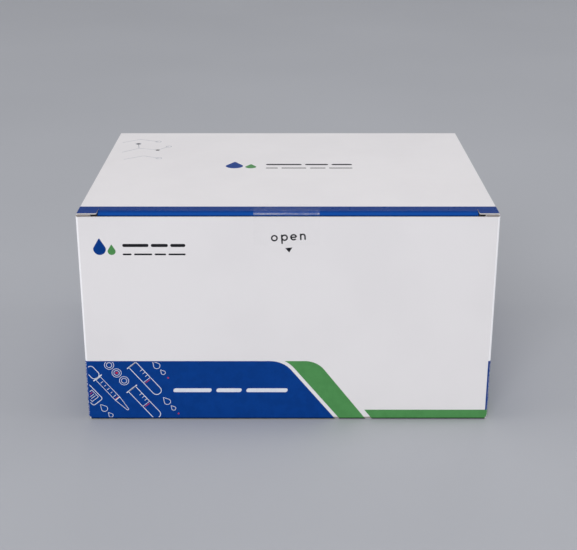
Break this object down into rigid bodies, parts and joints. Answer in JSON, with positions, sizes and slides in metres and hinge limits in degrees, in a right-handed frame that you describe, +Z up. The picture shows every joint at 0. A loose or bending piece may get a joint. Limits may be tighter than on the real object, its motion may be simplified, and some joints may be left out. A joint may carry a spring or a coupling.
{
  "type": "folding carton",
  "caption": "Closed white folding carton with a slit-lock tuck lid, blue and green printed bands and a clear film seal over the lid's edge.",
  "frame": {"origin": "middle of the face the carton stands on", "axes": "+Z up, front panel towards -Y, +X to the right as the front is read"},
  "size_m": [0.2002, 0.1577, 0.1086],
  "materials": {
    "board": "white coated board, satin",
    "clear_film": "clear gloss film",
    "blue_ink": "deep blue print under satin varnish",
    "green_ink": "mid green print under satin varnish",
    "dark_ink": "near-black print under satin varnish",
    "grey_ink": "pale grey print under satin varnish",
    "red_ink": "small red accents in the print"
  },
  "bodies": {
    "root": {"carton": "board", "seal_tape": "clear_film", "blue_band": "blue_ink", "lid_strip": "blue_ink", "green_stripe": "green_ink", "green_rule": "green_ink"}
  },
  "joints": []
}
